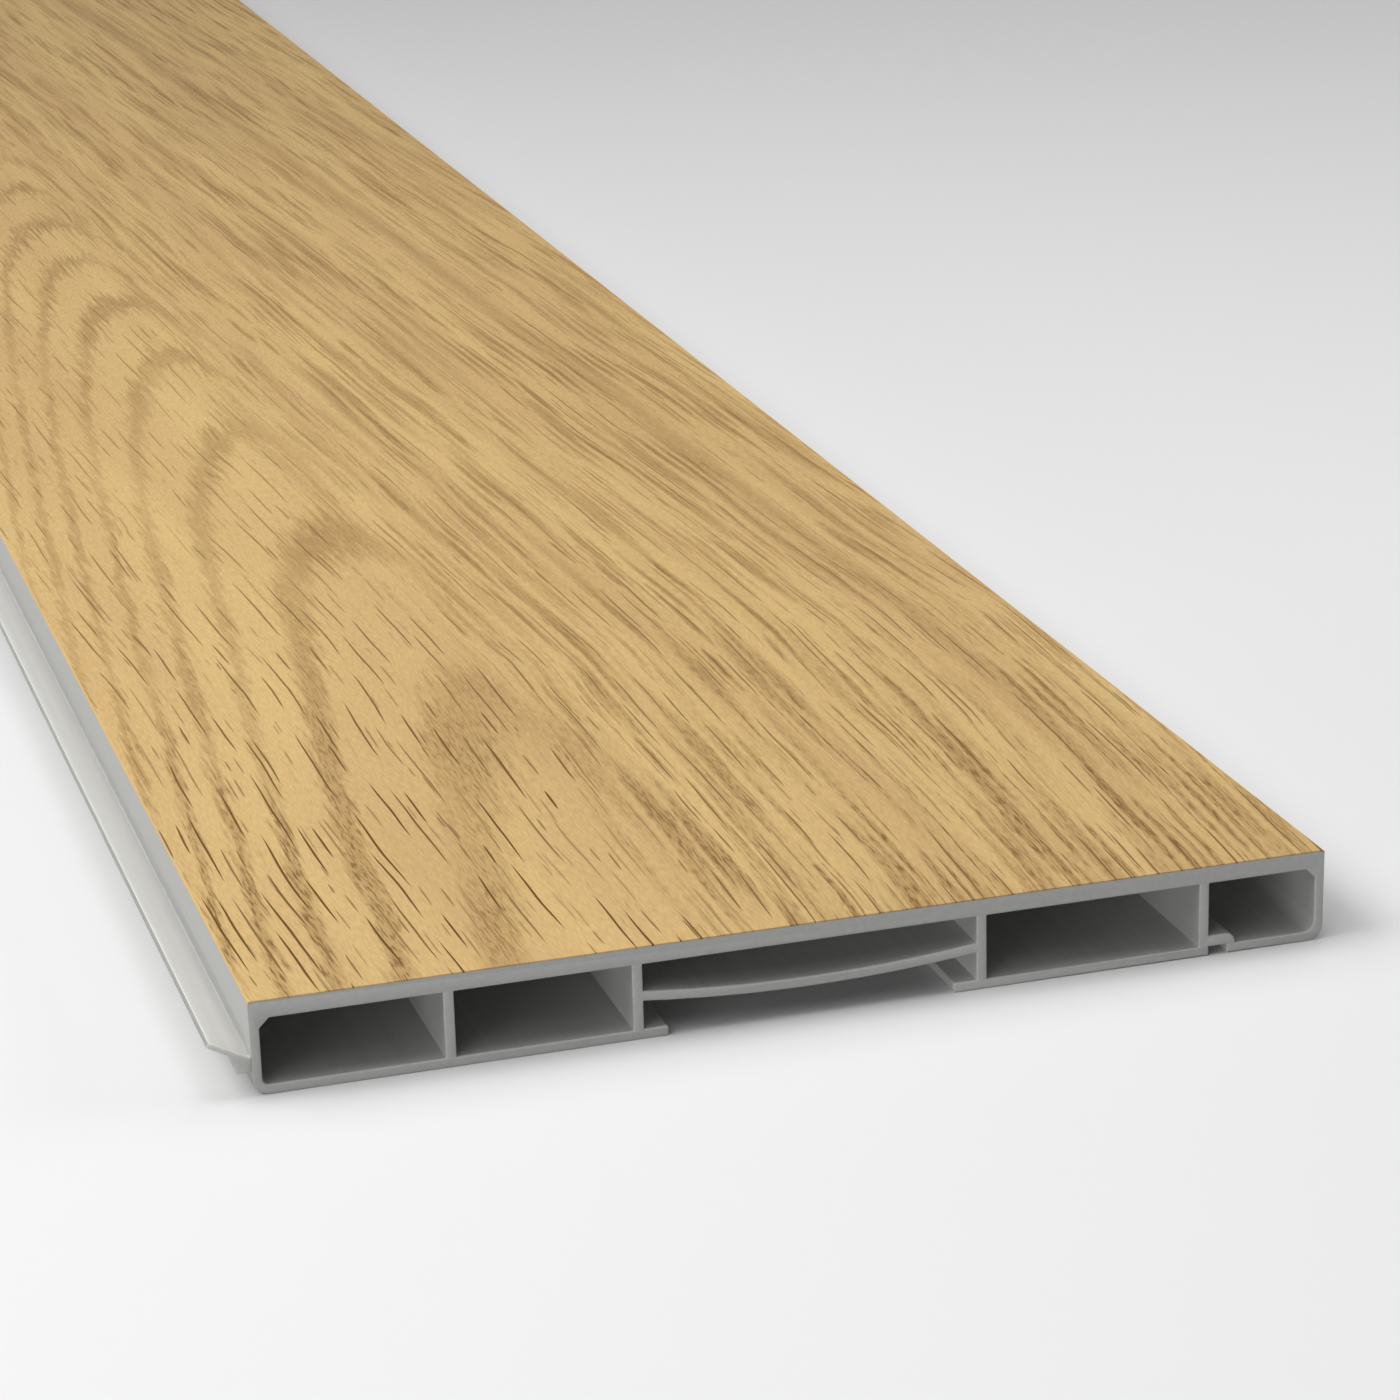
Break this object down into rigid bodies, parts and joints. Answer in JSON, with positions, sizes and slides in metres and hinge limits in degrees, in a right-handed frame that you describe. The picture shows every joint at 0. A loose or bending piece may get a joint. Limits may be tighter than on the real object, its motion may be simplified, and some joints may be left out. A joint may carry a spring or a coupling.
{
  "type": "cabinet toe kick",
  "caption": "Hollow PVC plinth board with an oak-effect face, a clip channel in its back and a soft sealing lip along its floor edge.",
  "frame": {"origin": "middle of the base of the whole board, lip included, as it lies on its back", "axes": "+X across the board from the floor edge with the lip to the top edge, +Y along the length, +Z out of the face"},
  "size_m": [0.1556, 1, 0.0132],
  "materials": {
    "rigid_pvc": "matte",
    "oak_film": "satin",
    "soft_pvc": "satin"
  },
  "bodies": {
    "root": {"plinth_profile": "rigid_pvc", "decor_film": "oak_film", "sealing_lip": "soft_pvc"}
  },
  "joints": []
}
